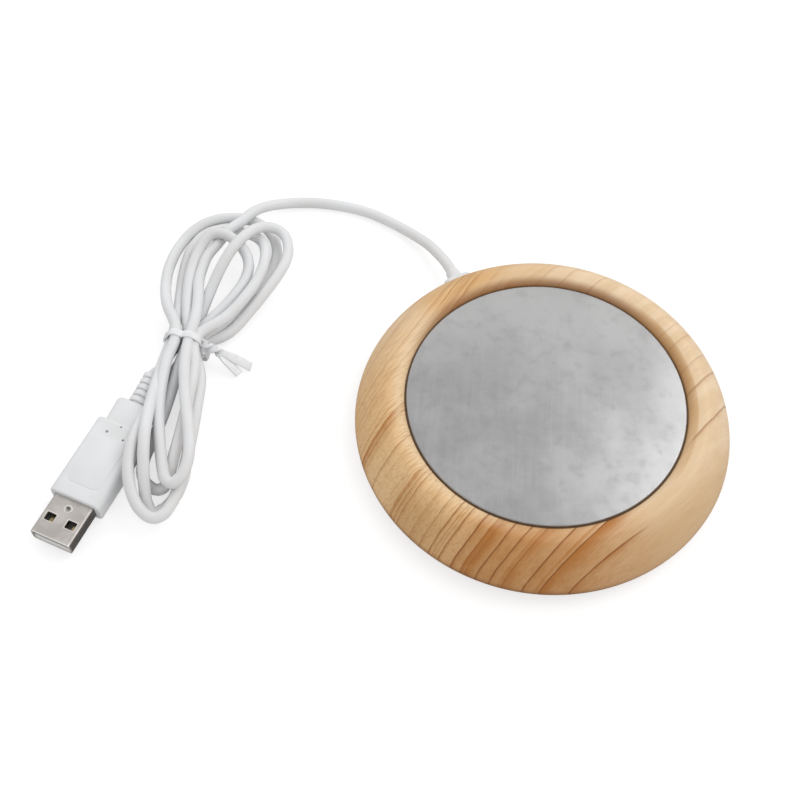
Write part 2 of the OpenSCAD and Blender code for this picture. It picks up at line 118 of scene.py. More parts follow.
def lobe_points(enter, leave, far, bulge, lateness, heights):
    """The cord's way from one slot of the tie out to the lobe's far point and back to the next."""
    start, end = strand_in_tie(*enter), strand_in_tie(*leave)
    reach = hypot(*far)
    sideways = Vector((-far[1], far[0])) / reach
    outward = along_waist * (1 if far[1] > 0 else -1) * reach
    levels = [start.z, *heights, end.z]
    points = []
    for step in range(steps_per_lobe + 1):
        turn = pi * step / steps_per_lobe
        s, c = max(sin(turn), 0), cos(turn)
        early = smooth(min(max((c + hand_over) / (2 * hand_over), 0), 1))
        swing = 0
        for share, out, late in zip((early, 1 - early), bulge, lateness):
            peak = atan(sqrt(late))
            swing += share * out * c * s ** late / (cos(peak) * sin(peak) ** late)
        flat = start.xy * (1 + c) / 2 + end.xy * (1 - c) / 2
        flat += outward * s * (1 - s) + Vector(far) * s * s + sideways * swing
        quarter = min(int(4 * step / steps_per_lobe), 3)
        rise = levels[quarter + 1] - levels[quarter]
        height = levels[quarter] + rise * smooth(4 * step / steps_per_lobe - quarter)
        points.append((flat.x, flat.y, height))
    return points


# The plug's own frame: its tip at the front left, +X back along it to the cord. It lies flat.
plug_tip, plug_az = Vector((-131.7, -42.9, 3.9)), 67.8
plug_frame = Matrix.Translation(plug_tip * MM) @ Matrix.Rotation(radians(plug_az), 4, "Z")
bend_start, bend_rate, bend_power = 36, 0.0147, 1.6
cord_mouth, cord_end = 57.1, 37


def relief_bend(x):
    """How far the soft end of the moulding leans over to its left, at x along the plug."""
    return bend_rate * max(x - bend_start, 0) ** bend_power


# The last stretch, from the tie into the plug's moulding, where the cord's end is held.
tail_route = [(-109, 17.5, 2.7), (-110, 13, 3.4)]
for x in (cord_mouth, 51.8, cord_end):
    tail_route.append(plug_frame @ Vector((x * MM, relief_bend(x) * MM, 0)) / MM)

centreline = [Vector(p) for p in lead_route] + [strand_in_tie(*slots[0])]
for enter, leave, lobe in zip(slots, slots[1:], lobes):
    centreline += [Vector(p) for p in lobe_points(enter, leave, *lobe)[1:]]
centreline += [Vector(p) for p in tail_route]

cord_line = bpy.data.curves.new("cord", "CURVE")
cord_line.dimensions = "3D"
cord_line.bevel_depth = cord_d / 2 * MM
cord_line.bevel_resolution = 5
cord_line.resolution_u = 4
cord_line.use_fill_caps = True
spline = cord_line.splines.new("BEZIER")
spline.bezier_points.add(len(centreline) - 1)
for knot, point in zip(spline.bezier_points, centreline):
    knot.co = point * MM
    knot.handle_left_type = knot.handle_right_type = "AUTO"
cord = bpy.data.objects.new("cord", cord_line)
bpy.context.scene.collection.objects.link(cord)


def srgb(red, green, blue):
    """A colour as a painter reads it, 0 to 255, turned into the linear values that shaders take."""
    return tuple(
        (c / 12.92 if c <= 0.04045 else ((c + 0.055) / 1.055) ** 2.4)
        for c in (red / 255, green / 255, blue / 255)
    ) + (1,)


class Flow:
    """One socket of a material. Arithmetic on it adds Math nodes, as do its named methods."""

    def __init__(self, finish, socket):
        self.finish, self.socket = finish, socket

    def math(self, operation, *values):
        return self.finish.add("ShaderNodeMath", {"operation": operation}, values)

    def __add__(self, other):
        return self.math("ADD", self, other)

    __radd__ = __add__

    def __sub__(self, other):
        return self.math("SUBTRACT", self, other)

    def __rsub__(self, other):
        return self.math("SUBTRACT", other, self)

    def __mul__(self, other):
        return self.math("MULTIPLY", self, other)

    __rmul__ = __mul__

    def __truediv__(self, other):
        return self.math("DIVIDE", self, other)

    def __rtruediv__(self, other):
        return self.math("DIVIDE", other, self)

    def __pow__(self, other):
        return self.math("POWER", self, other)

    def __abs__(self):
        return self.math("ABSOLUTE", self)

    def greater(self, other):
        """The greater of the two."""
        return self.math("MAXIMUM", self, other)

    def band(self, low, high):
        """0 below low, 1 above high, and a soft step between them."""
        return self.finish.add(
            "ShaderNodeMapRange", {"interpolation_type": "SMOOTHSTEP"},
            {"Value": self, "From Min": low, "From Max": high},
        )


def distance(x, y):
    return (x * x + y * y) ** 0.5


class Finish:
    """A material with one Principled shader, whose nodes are added one by one."""

    def __init__(self, name, **constants):
        self.material = bpy.data.materials.new(name)
        self.material.use_nodes = True
        self.nodes, self.links = self.material.node_tree.nodes, self.material.node_tree.links
        self.shader = self.nodes["Principled BSDF"]
        self.feed(constants)

    def feed(self, sockets):
        """Sets the shader's sockets, with underscores for spaces in their names."""
        for name, value in sockets.items():
            self.connect(value, self.shader.inputs[name.replace("_", " ")])

    def connect(self, value, socket):
        if isinstance(value, Flow):
            self.links.new(value.socket, socket)
        else:
            socket.default_value = value

    def add(self, kind, settings=None, sockets=(), output=0):
        """Adds a node: its settings first, then the values or links of its sockets."""
        node = self.nodes.new(kind)
        for name, value in (settings or {}).items():
            if name == "stops":
                ramp = node.color_ramp
                while len(ramp.elements) < len(value):
                    ramp.elements.new(1)
                for element, (position, colour) in zip(ramp.elements, value):
                    element.position, element.color = position, colour
            else:
                setattr(node, name, value)
        pairs = sockets.items() if isinstance(sockets, dict) else enumerate(sockets)
        for name, value in pairs:
            self.connect(value, node.inputs[name])
        return Flow(self, node.outputs[output])

    def place(self, scale=1.0, turn=(0, 0, 0)):
        """Object coordinates in millimetres, turned and then stretched."""
        here = self.add("ShaderNodeTexCoord", output="Object")
        turned = self.add("ShaderNodeMapping", sockets={"Vector": here, "Rotation": turn})
        stretch = [k / MM for k in (scale if isinstance(scale, tuple) else (scale,) * 3)]
        return self.add("ShaderNodeVectorMath", {"operation": "MULTIPLY"}, (turned, stretch))

    def axes(self, where, names="XYZ"):
        """The named coordinates of a place, one flow each."""
        return [
            self.add("ShaderNodeSeparateXYZ", sockets=[where], output=name) for name in names
        ]

    def noise(self, where, detail, roughness=0.5):
        return self.add("ShaderNodeTexNoise", sockets={
            "Vector": where, "Scale": 1.0, "Detail": detail, "Roughness": roughness,
        })

    def blend(self, factor, first, second):
        """Mixes two colours."""
        sockets = {0: factor, 6: first, 7: second}
        return self.add("ShaderNodeMix", {"data_type": "RGBA"}, sockets, output=2)

    def bump(self, height, depth):
        """Bump of the given depth in millimetres."""
        sockets = {"Height": height, "Distance": depth * MM, "Strength": 1.0}
        self.feed({"Normal": self.add("ShaderNodeBump", sockets=sockets)})

    def cover(self, *pieces):
        """Puts the finish on whole pieces, given as objects or by the names of CAD nodes."""
        for piece in pieces:
            if isinstance(piece, str):
                piece = bpy.data.objects[piece]
            piece.data.materials.clear()
            piece.data.materials.append(self.material)


# White PVC with the faint unevenness of a drawn jacket and a little grey where hands held it.
cord_pvc = Finish("cord_pvc", Specular_IOR_Level=0.4)
fine = cord_pvc.noise(cord_pvc.place(0.9), detail=3)
broad = cord_pvc.noise(cord_pvc.place(0.04), detail=2)
cord_pvc.feed({
    "Base_Color": cord_pvc.blend(broad.band(0.35, 0.7), srgb(232, 233, 234), srgb(224, 224, 223)),
    "Roughness": 0.36 + fine * 0.14,
})
cord_pvc.bump(fine, 0.012)
cord_pvc.cover(cord, "cord_inside")
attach(cord, "root")
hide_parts("cord_lead", "cord_hank", "cord_tail")


# ---------------------------------------------------------------------------------------------
# Tie: a flat white plastic ribbon with a wire in it, wrapped once round the waist of the hank.
# It hugs the strands and is twisted at the right, and its two ends stand apart, cut square.

band_w, band_t = 2.1, 0.5
twist_w, twist_t, twist_steps = 2.5, 1.3, 20
end_w, end_t, end_steps, end_bow = 2.6, 0.7, 10, 0.4


def select_only(piece):
    if bpy.context.object and bpy.context.object.mode != "OBJECT":
        bpy.ops.object.mode_set(mode="OBJECT")
    bpy.ops.object.select_all(action="DESELECT")
    piece.select_set(True)
    bpy.context.view_layer.objects.active = piece


def start(name):
    """Names the primitive that was just added, and opens it in edit mode with all selected."""
    piece = bpy.context.object
    piece.name = name
    piece.data.name = name
    select_only(piece)
    bpy.ops.object.mode_set(mode="EDIT")
    bpy.ops.mesh.select_mode(type="VERT")
    bpy.ops.mesh.select_all(action="SELECT")
    return piece


def modify(piece, kind, **settings):
    """Adds a modifier and applies it."""
    select_only(piece)
    modifier = piece.modifiers.new("shape", kind)
    for name, value in settings.items():
        setattr(modifier, name, value)
    bpy.ops.object.modifier_apply(modifier=modifier.name)


def soften(piece, width):
    """Bevels all the sharp edges of a thin piece."""
    modify(piece, "BEVEL", width=width * MM, segments=2,
           limit_method="ANGLE", angle_limit=radians(50))


def apply_place(piece):
    select_only(piece)
    bpy.ops.object.transform_apply(location=True, rotation=True, scale=True)


def finish_mesh(piece, matrix=None, smooth_angle=35, merge=0.001):
    """Bakes the piece's place into its mesh, merges doubles, turns the faces outwards, smooths."""
    if matrix is not None:
        piece.matrix_world = matrix @ piece.matrix_world
    apply_place(piece)
    bpy.ops.object.mode_set(mode="EDIT")
    bpy.ops.mesh.select_all(action="SELECT")
    bpy.ops.mesh.remove_doubles(threshold=merge * MM)
    bpy.ops.mesh.normals_make_consistent(inside=False)
    bpy.ops.object.mode_set(mode="OBJECT")
    bpy.ops.object.shade_smooth_by_angle(angle=radians(smooth_angle))


def join(pieces, name):
    select_only(pieces[0])
    for piece in pieces:
        piece.select_set(True)
    bpy.ops.object.join()
    joined = bpy.context.object
    joined.name = name
    joined.data.name = name
    return joined


def ribbon(name, stations, width, thickness):
    """A strip drawn along stations of (point, vector across it), then given its thickness. The
    length of the vector scales the width there."""
    bpy.ops.mesh.primitive_plane_add(size=width * MM)
    strip = start(name)
    bpy.ops.mesh.select_all(action="DESELECT")
    bpy.ops.object.mode_set(mode="OBJECT")
    for vertex in strip.data.vertices:
        vertex.select = vertex.co.x < 0
    bpy.ops.object.mode_set(mode="EDIT")
    bpy.ops.mesh.delete(type="VERT")
    bpy.ops.mesh.select_all(action="SELECT")
    for _ in stations[1:]:
        bpy.ops.mesh.extrude_region_move(TRANSFORM_OT_translate={"value": (width * MM, 0, 0)})
    bpy.ops.object.mode_set(mode="OBJECT")
    for k, (point, wide) in enumerate(stations):
        for vertex, way in zip(strip.data.vertices[2 * k:2 * k + 2], (-1, 1)):
            vertex.co = (Vector(point) + Vector(wide) * way * width / 2) * MM
    modify(strip, "SOLIDIFY", thickness=thickness * MM, offset=0)
    soften(strip, 0.12)
    return strip


# The band's outline across the waist, going round: (across, along, height). It dips between the
# top strands, and hangs a little loose at the lower right.
band_outline = [
    (5.7, -0.9, 6.4), (5.75, -0.9, 7.7), (5.3, -0.9, 8.9), (4.5, -0.9, 9.8), (3.4, -0.9, 10.6),
    (2.1, -0.9, 11), (0.9, -1, 10.7), (0, -1, 10.2), (-0.9, -1, 10.7), (-2.1, -1, 11),
    (-3.3, -1, 10.7), (-4.1, -1, 9.7), (-4.7, -1, 8.4), (-5.5, -1, 7.3), (-5.7, -1, 6.1),
    (-5.3, -1, 4.8), (-4.1, -1, 3.4), (-2.6, -1, 1.6), (-1.2, -1, 0.6), (0.8, -1, 0.3),
    (3.6, -1.2, 0.35), (5.4, -1.5, 0.5), (6.8, -1.9, 1.2), (7.4, -2, 2.5), (7, -1.7, 4),
    (6.2, -1.2, 5.4), (5.7, -0.9, 6.4),
]
waist_place = Matrix.Translation(Vector((waist.x, waist.y, 0)) * MM)
waist_frame = waist_place @ Matrix.Rotation(radians(waist_az - 90), 4, "Z")
band = ribbon("tie_band", [(point, (0, 1, 0)) for point in band_outline], band_w, band_t)

# The twist: the two layers turn about each other as they leave the band, and slope to the table.
twist_start, twist_end = Vector((5.5, -0.75, 7.4)), Vector((11.7, -1.9, 4.8))
first_turn, whole_turn = 100, 460
run = (twist_end - twist_start).normalized()
across_run = run.cross(Vector((0, 0, 1))).normalized()
above_run = across_run.cross(run)
stations = []
for k in range(twist_steps + 1):
    turn = radians(first_turn + whole_turn * k / twist_steps)
    wide = across_run * cos(turn) + above_run * sin(turn)
    stations.append((twist_start.lerp(twist_end, k / twist_steps), wide))
pieces = [band, ribbon("tie_twist", stations, twist_w, twist_t)]

# The two ends start narrow in the twist, widen, and bow up a little: (from, to, tilt across).
for start_at, end_at, tilt in (
    ((9.8, -1.35, 5.6), (20.3, -2.2, 1.1), 0.3),
    ((9.8, -1.6, 5.3), (17.5, -5.2, 1.0), -0.15),
):
    start_at, end_at = Vector(start_at), Vector(end_at)
    run = (end_at - start_at).normalized()
    wide = Vector((-run.y, run.x, tilt)).normalized()
    stations = []
    for k in range(end_steps + 1):
        bow = Vector((0, 0, end_bow * sin(pi * k / end_steps)))
        point = start_at.lerp(end_at, k / end_steps) + bow
        stations.append((point, wide * min(0.45 + 0.11 * k, 1)))
    pieces.append(ribbon("tie_end", stations, end_w, end_t))
tie = join(pieces, "tie")
finish_mesh(tie, waist_frame, smooth_angle=40)

tie_plastic = Finish("tie_plastic", Specular_IOR_Level=0.5)
fine = tie_plastic.noise(tie_plastic.place(0.5), detail=3)
tie_plastic.feed({
    "Base_Color": tie_plastic.blend(fine.band(0.3, 0.75), srgb(240, 241, 242), srgb(231, 232, 233)),
    "Roughness": 0.28 + fine * 0.12,
})
tie_plastic.bump(fine, 0.02)
tie_plastic.cover(tie)
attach(tie, "root")
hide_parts("twist_tie")


# ---------------------------------------------------------------------------------------------
# Plug: the grip and the ribbed strain relief are one white PVC moulding over the plug's core.
# The grip is a soft-edged block with a slim raised panel, and it narrows in one step to a neck.

grip_x, shoulder_x, neck_x, relief_x = 12.3, 37.8, 45.8, 56.6
grip_w, grip_h, neck_w, neck_h = 15.4, 7.7, 11.8, 6.6
seat_w, seat_h, panel_w, panel_z = 12.1, 4.6, 10.4, 3.98
rib_count, rib_pitch = 5, 2.15


def block(name, low, high):
    """A rectangular block between two corners in millimetres, in object mode."""
    middle = (Vector(low) + Vector(high)) / 2 * MM
    bpy.ops.mesh.primitive_cube_add(size=1, location=middle)
    piece = bpy.context.object
    piece.name = name
    piece.data.name = name
    piece.scale = (Vector(high) - Vector(low)) * MM
    apply_place(piece)
    return piece


def round_edges(piece, chosen, width, segments):
    """Bevels the edges that chosen picks by their middle and direction, both in millimetres."""
    select_only(piece)
    bpy.ops.object.mode_set(mode="EDIT")
    bpy.ops.mesh.select_mode(type="EDGE")
    bpy.ops.mesh.select_all(action="DESELECT")
    bpy.ops.object.mode_set(mode="OBJECT")
    mesh = piece.data
    for edge in mesh.edges:
        a, b = (mesh.vertices[k].co / MM for k in edge.vertices)
        edge.select = bool(chosen((a + b) / 2, (b - a).normalized()))
    bpy.ops.object.mode_set(mode="EDIT")
    bpy.ops.mesh.bevel(offset=width * MM, segments=segments, affect="EDGES")
    bpy.ops.object.mode_set(mode="OBJECT")


def turned(name, outline, sides, axis="Z"):
    """A circle drawn out along an outline of (radius, height), as on a lathe. Where the outline
    ends at its first point the piece is a ring, and otherwise its two ends are filled."""
    radius, height = outline[0]
    bpy.ops.mesh.primitive_circle_add(vertices=sides, radius=radius * MM, location=(0, 0, 0))
    piece = start(name)
    ring = outline[-1] == outline[0]
    bpy.ops.transform.translate(value=(0, 0, height * MM))
    if not ring:
        bpy.ops.mesh.edge_face_add()
    for next_radius, next_height in outline[1:]:
        if ring:
            bpy.ops.mesh.extrude_edges_move()
        else:
            bpy.ops.mesh.extrude_region_move()
        scale = next_radius / radius
        bpy.ops.transform.resize(value=(scale, scale, 1))
        bpy.ops.transform.translate(value=(0, 0, (next_height - height) * MM))
        radius, height = next_radius, next_height
    bpy.ops.mesh.select_all(action="SELECT")
    bpy.ops.mesh.remove_doubles(threshold=0.001 * MM)
    bpy.ops.mesh.normals_make_consistent(inside=False)
    bpy.ops.object.mode_set(mode="OBJECT")
    if axis == "X":
        piece.matrix_world = Matrix.Rotation(radians(90), 4, "Y") @ piece.matrix_world
    return piece


def combine(piece, tool, operation):
    """Cuts the tool out of the piece, or adds it, and throws the tool away."""
    modify(piece, "BOOLEAN", object=tool, operation=operation, solver="EXACT")
    bpy.data.objects.remove(tool)


def lies_along(axis):
    """Picks the edges that run along an axis, 0 for X, 1 for Y and 2 for Z."""
    return lambda middle, way: abs(way[axis]) > 0.9


def lies_at(x):
    """Picks the edges round a block's end at x."""
    return lambda middle, way: abs(middle.x - x) < 0.01


grip = block("plug_grip", (grip_x, -grip_w / 2, -grip_h / 2), (shoulder_x, grip_w / 2, grip_h / 2))
round_edges(grip, lies_along(0), 1.9, 6)
round_edges(grip, lies_at(shoulder_x), 1.1, 4)
round_edges(grip, lies_at(grip_x), 0.45, 3)
neck = block("plug_neck", (grip_x + 8, -neck_w / 2, -neck_h / 2), (neck_x, neck_w / 2, neck_h / 2))
round_edges(neck, lies_along(0), 2.1, 6)
round_edges(neck, lies_at(neck_x), 1.3, 5)
# The ribs get smaller towards the cord. Each is flat in front and falls away behind.
relief_outline = [(2.6, neck_x - 1)]
for rib in range(rib_count):
    at = neck_x + 0.4 + rib_pitch * rib
    big, small = 3.1 - 0.12 * rib, 2.3 - 0.06 * rib
    relief_outline += [
        (small, at), (big - 0.15, at + 0.03), (big, at + 0.2), (big + 0.02, at + 0.9),
        (big - 0.06, at + 1.45), (big - 0.25, at + 1.62), (small - 0.05, at + 1.68),
    ]
relief_outline += [(2.1, relief_x), (1.7, relief_x + 0.01)]
combine(grip, neck, "UNION")
combine(grip, turned("plug_relief", relief_outline, 48, axis="X"), "UNION")
shell_seat = block(
    "shell_seat", (grip_x - 1, -seat_w / 2, -seat_h / 2), (grip_x + 2, seat_w / 2, seat_h / 2)
)
combine(grip, shell_seat, "DIFFERENCE")
panel = block(
    "grip_panel", (grip_x + 4.2, -panel_w / 2, 3.5), (shoulder_x - 5.6, panel_w / 2, panel_z)
)
round_edges(panel, lies_along(2), 2.2, 6)
round_edges(panel, lambda middle, way: middle.z > panel_z - 0.08, 0.12, 2)
combine(grip, panel, "UNION")
# Three small marks of the mould's pins behind the panel: (x, y, radius).
for x, y, mark_r in ((33.7, 2.5, 0.44), (33.1, -3, 0.34), (36.5, -0.4, 0.3)):
    bpy.ops.mesh.primitive_cylinder_add(
        vertices=20, radius=mark_r * MM, depth=2 * MM, location=Vector((x, y, 4)) * MM
    )
    combine(grip, bpy.context.object, "DIFFERENCE")
# The soft end leans over with the cord in it.
for vertex in grip.data.vertices:
    vertex.co.y += relief_bend(vertex.co.x / MM) * MM
finish_mesh(grip, plug_frame, smooth_angle=32)

white_moulding = Finish("white_moulding", Specular_IOR_Level=0.4)
fine = white_moulding.noise(white_moulding.place(2.2), detail=4)
broad = white_moulding.noise(white_moulding.place(0.06), detail=2)
clean_white, handled_white = srgb(234, 235, 236), srgb(227, 227, 227)
white_moulding.feed({
    "Base_Color": white_moulding.blend(broad.band(0.35, 0.7), clean_white, handled_white),
    "Roughness": 0.42 + fine * 0.14,
})
white_moulding.bump(fine, 0.02)
white_moulding.cover(grip)
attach(grip, "root")
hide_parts("usb_overmould")


# ---------------------------------------------------------------------------------------------
# Plug shell: folded from nickel-plated strip, with the grip moulded over its rear. It has two
# windows for the socket's springs on each side, each with a raised rim, and a dimple behind them.

shell_l, shell_w, shell_h, shell_t = 18.7, 12, 4.5, 0.35
window_x, window_y, window_l, window_w = 5.5, 3.2, 2.4, 2.8
rim_w, rim_h = 0.3, 0.08
dimple_x, dimple_y, dimple_r, ball_r, ball_z = 9.4, 0.1, 1.2, 0.95, 2.9025
plug_turn = (0, 0, radians(-plug_az))

shell = block("plug_shell", (0, -shell_w / 2, -shell_h / 2), (shell_l, shell_w / 2, shell_h / 2))
round_edges(shell, lies_along(0), 0.75, 4)
# Its two end faces come off before it gets its wall.
select_only(shell)
for item in (*shell.data.vertices, *shell.data.edges):
    item.select = False
for face in shell.data.polygons:
    face.select = abs(face.normal.x) > 0.9
bpy.ops.object.mode_set(mode="EDIT")
bpy.ops.mesh.select_mode(type="FACE")
bpy.ops.mesh.delete(type="FACE")
bpy.ops.object.mode_set(mode="OBJECT")
modify(shell, "SOLIDIFY", thickness=shell_t * MM, offset=-1)
for y in (-window_y, window_y):
    for z in (-shell_h / 2 - 0.05, shell_h / 2 + 0.05):
        half_l, half_w = window_l / 2 + rim_w, window_w / 2 + rim_w
        raised = block(
            "raised_edge",
            (window_x - half_l, y - half_w, z - rim_h), (window_x + half_l, y + half_w, z + rim_h),
        )
        round_edges(raised, lies_along(2), 0.5, 3)
        combine(shell, raised, "UNION")
    half_l, half_w = window_l / 2, window_w / 2
    window = block(
        "window", (window_x - half_l, y - half_w, -5), (window_x + half_l, y + half_w, 5)
    )
    round_edges(window, lies_along(2), 0.3, 3)
    combine(shell, window, "DIFFERENCE")
for side in (-1, 1):
    bpy.ops.mesh.primitive_cylinder_add(
        vertices=40, radius=dimple_r * MM, depth=0.24 * MM,
        location=Vector((dimple_x, dimple_y, side * shell_h / 2)) * MM,
    )
    combine(shell, bpy.context.object, "UNION")
    bpy.ops.mesh.primitive_uv_sphere_add(
        segments=40, ring_count=20, radius=ball_r * MM,
        location=Vector((dimple_x, dimple_y, side * ball_z)) * MM,
    )
    combine(shell, bpy.context.object, "DIFFERENCE")
soften(shell, 0.09)
finish_mesh(shell, plug_frame, smooth_angle=30, merge=0.0005)
modify(shell, "WEIGHTED_NORMAL", keep_sharp=True, weight=100)


def along_plug(finish):
    """How far a place lies back from the plug's tip, and how far to its left."""
    tip = Matrix.Rotation(radians(-plug_az), 4, "Z") @ plug_tip
    offset = (finish.place(turn=plug_turn), tuple(tip))
    return finish.axes(finish.add("ShaderNodeVectorMath", {"operation": "SUBTRACT"}, offset), "XY")


# It has a painted highlight at its front edge, round the windows and round the dimple. Its sides
# have a painted dark reflection, and painted shade lies in the dimple.
plug_shell = Finish("plug_shell", Metallic=1.0)
grain = plug_shell.noise(plug_shell.place((0.3, 5, 5), turn=plug_turn), detail=4)
broad = plug_shell.noise(plug_shell.place(0.25), detail=2)
along, sideways = along_plug(plug_shell)
from_axis = abs(sideways)
beside_window = abs(from_axis - window_y) - window_w / 2
from_window = beside_window.greater(abs(along - window_x) - window_l / 2)
from_dimple = distance(along - dimple_x, sideways - dimple_y)
painted_dimple_highlight = from_dimple.band(0.7, 0.9) * (1 - from_dimple.band(1.15, 1.35))
painted_highlight = (1 - from_window.band(0.15, 0.5)) * 0.6 + (1 - along.band(0.1, 0.5)) + painted_dimple_highlight * 0.8
painted_dimple_shade = 1 - distance(along - dimple_x - 0.2, sideways - dimple_y - 0.2).band(0.25, 0.75)
painted_side_reflection = from_axis.band(5.75, 5.97) * along.band(0.1, 0.6)
nickel = plug_shell.blend(broad.band(0.3, 0.7), srgb(206, 201, 195), srgb(188, 183, 177))
nickel = plug_shell.blend(painted_highlight * 0.8, nickel, srgb(244, 241, 236))
nickel = plug_shell.blend(painted_side_reflection * 0.85, nickel, srgb(112, 107, 102))
nickel = plug_shell.blend(painted_dimple_shade * 0.8, nickel, srgb(70, 66, 62))
plug_shell.feed({"Base_Color": nickel, "Roughness": 0.3 + grain * 0.16})
plug_shell.bump(grain, 0.008)
plug_shell.cover(shell)
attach(shell, "root")
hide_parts("usb_shell")


# ---------------------------------------------------------------------------------------------
# Tongue and contacts: the insulator in the shell is a white moulding, with painted shade that greys
# it past its front end. It carries four gold-plated blades, and the core behind it holds their rear
# ends.

tongue_plastic = Finish("tongue_plastic", Specular_IOR_Level=0.5)
fine = tongue_plastic.noise(tongue_plastic.place(1.5), detail=3)
inward, _ = along_plug(tongue_plastic)
ivory = tongue_plastic.blend(fine, srgb(236, 236, 234), srgb(226, 226, 223))
# From 1 to 3 mm in, the insulator turns dark grey: painted shade inside the shell.
tongue_plastic.feed({
    "Base_Color": tongue_plastic.blend(inward.band(1, 3) * 0.9, ivory, srgb(60, 61, 60)),
    "Roughness": 0.35 + fine * 0.15,
})
tongue_plastic.bump(fine, 0.01)
tongue_plastic.cover("usb_tongue", "usb_core")
contact_gold = Finish("contact_gold", Metallic=1.0)
wear = contact_gold.noise(contact_gold.place((0.6, 3, 3), turn=plug_turn), detail=4)
gold, worn_gold = srgb(186, 168, 128), srgb(158, 146, 116)
contact_gold.feed({
    "Base_Color": contact_gold.blend(wear.band(0.45, 0.8), gold, worn_gold),
    "Roughness": 0.22 + wear * 0.2,
})
contact_gold.cover("usb_contacts")


# ---------------------------------------------------------------------------------------------
# Gland: a white moulded grommet that is clipped into the ring's wall at the back left. Its
# rounded flange follows the wall, and the cord comes out through its short tapered nose.

# The flange starts inside the ring's wall, whose foot has this radius.
rim_r = 50.2
flange_x, flange_w, flange_down, flange_up = 54.1, 9.4, 3.4, 2.8

gland = block(
    "gland",
    (rim_r - 1, -flange_w / 2, cord_z - flange_down), (flange_x, flange_w / 2, cord_z + flange_up),
)
round_edges(gland, lies_along(0), 2.4, 6)
round_edges(gland, lies_at(flange_x), 1.2, 5)
nose = turned("gland_nose", [
    (2.6, 53.6), (2.45, 54.2), (2.2, 54.6), (2.05, 56.4), (2, 56.8), (1.9, nose_out),
    (1.66, nose_out + 0.01), (1.64, 56.2),
], 40, axis="X")
nose.location.z = cord_z * MM
apply_place(nose)
combine(gland, nose, "UNION")
gland_frame = Matrix.Rotation(radians(cord_az), 4, "Z")
finish_mesh(gland, gland_frame)
white_moulding.cover(gland)
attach(gland, "root")
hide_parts("cord_gland")


# ---------------------------------------------------------------------------------------------
# Ring: the broad housing, moulded in plastic and finished in a printed wood grain. Its flank
# rises softly from the rim to a rounded crest, and a tight lip rolls over into the hole.

ring_r, ring_h, base_lift, belly_z = 53, 17.2, 0.8, 4.8
plate_r, plate_z, plate_t = 38.8, 15.5, 1.5
hole_r = plate_r + 0.4
crest_r = hole_r + 4.7
lip_z = plate_z - 0.9
ring_wall, wall_top_r, neck_hole_r = 2.6, 47, 3.3
seat_z = plate_z - plate_t - 1.15
ledge_z = seat_z - 1.6
flank_power = 1.37
rim_steps, flank_steps, lip_steps = 8, 18, 12


def flank(k, wall):
    """Step k of the flank's curve from the belly up to the crest, at a depth in the wall."""
    a = pi / 2 * k / flank_steps
    return (
        crest_r + (ring_r - wall - crest_r) * cos(a) ** flank_power,
        belly_z + (ring_h - wall - belly_z) * sin(a) ** flank_power,
    )


# The outline goes from the inside of the rim out, up the flank, over the crest and the lip to the
# ledge that carries the gasket and the plate, and back down inside the wall.
ring_outline = [
    (rim_r - 2, base_lift + 2), (rim_r - 2, base_lift + 0.25),
    (rim_r - 1.75, base_lift), (rim_r - 0.2, base_lift),
]
for k in range(rim_steps - 1, -1, -1):
    a = pi / 2 * k / rim_steps
    ring_outline.append((
        rim_r + (ring_r - rim_r) * cos(a), belly_z - (belly_z - base_lift) * sin(a)
    ))
ring_outline += [flank(k, 0) for k in range(1, flank_steps)]
for k in range(lip_steps + 1):
    a = pi / 2 * k / lip_steps
    ring_outline.append((
        crest_r - (crest_r - hole_r) * sin(a), lip_z + (ring_h - lip_z) * cos(a)
    ))
ring_outline += [
    (hole_r, seat_z), (plate_r - 2, seat_z), (plate_r - 2, ledge_z), (hole_r + 2.4, ledge_z),
]
inner_wall = [flank(k, ring_wall) for k in range(flank_steps - 1, -1, -1)]
ring_outline += [point for point in inner_wall if point[0] > wall_top_r]
ring_outline.append(ring_outline[0])
ring = turned("ring", ring_outline, 160)
neck_hole = turned("neck_hole", [(neck_hole_r, 44), (neck_hole_r, 60)], 48, axis="X")
neck_frame = gland_frame @ Matrix.Translation((0, 0, cord_z * MM))
neck_hole.matrix_world = neck_frame @ neck_hole.matrix_world
combine(ring, neck_hole, "DIFFERENCE")
finish_mesh(ring, smooth_angle=40)

# The print: u runs along its grain and v across it, and its lines are set out over v.
wood = Finish("wood_grain_shell", Specular_IOR_Level=0.4)
along_grain = (0, 0, radians(-42))
u, v, height = wood.axes(wood.place(turn=along_grain))
radius = distance(u, v)
sway = wood.noise(wood.place((0.03, 0.05, 0.02), turn=along_grain), detail=2)
ripple = wood.noise(wood.place((0.12, 0.9, 0.3), turn=along_grain), detail=3)
fibre = wood.noise(wood.place((0.07, 2.8, 1.2), turn=along_grain), detail=4, roughness=0.65)
streak = wood.noise(wood.place((0.015, 0.32, 0.2), turn=along_grain), detail=3)
pores = wood.noise(wood.place((0.4, 5, 2.0), turn=along_grain), detail=2)
# The print is stretched over the crest, which lifts its lines a little where they near the hole,
# and the lines fan out towards the back and the front.
stretch_r, stretch, fan_back, fan_front, right_lean = 47.5, 0.065, 0.01, 0.017, 0.22
over_crest = (stretch_r - radius).greater(0.0)
wander = over_crest ** 1.5 * stretch + (sway - 0.5) * 1.2 + (ripple - 0.5) * 0.5
to_back, to_front = (v - 6).greater(0.0), (-36 - v).greater(0.0)
left_lines = v - u * (to_back * fan_back - to_front * fan_front) - wander
right_lines = v - u * right_lean - wander
crisp = 0.12


def line_depth(x, at, depth, width):
    """How deep the tone of a line is at x: it sets in sharply at its place and fades below it."""
    drop = at - x
    onset = min(max((drop + crisp) / (2 * crisp), 0), 1)
    fade = min(max((width - drop) / (width - crisp), 0), 1)
    return depth * onset * fade


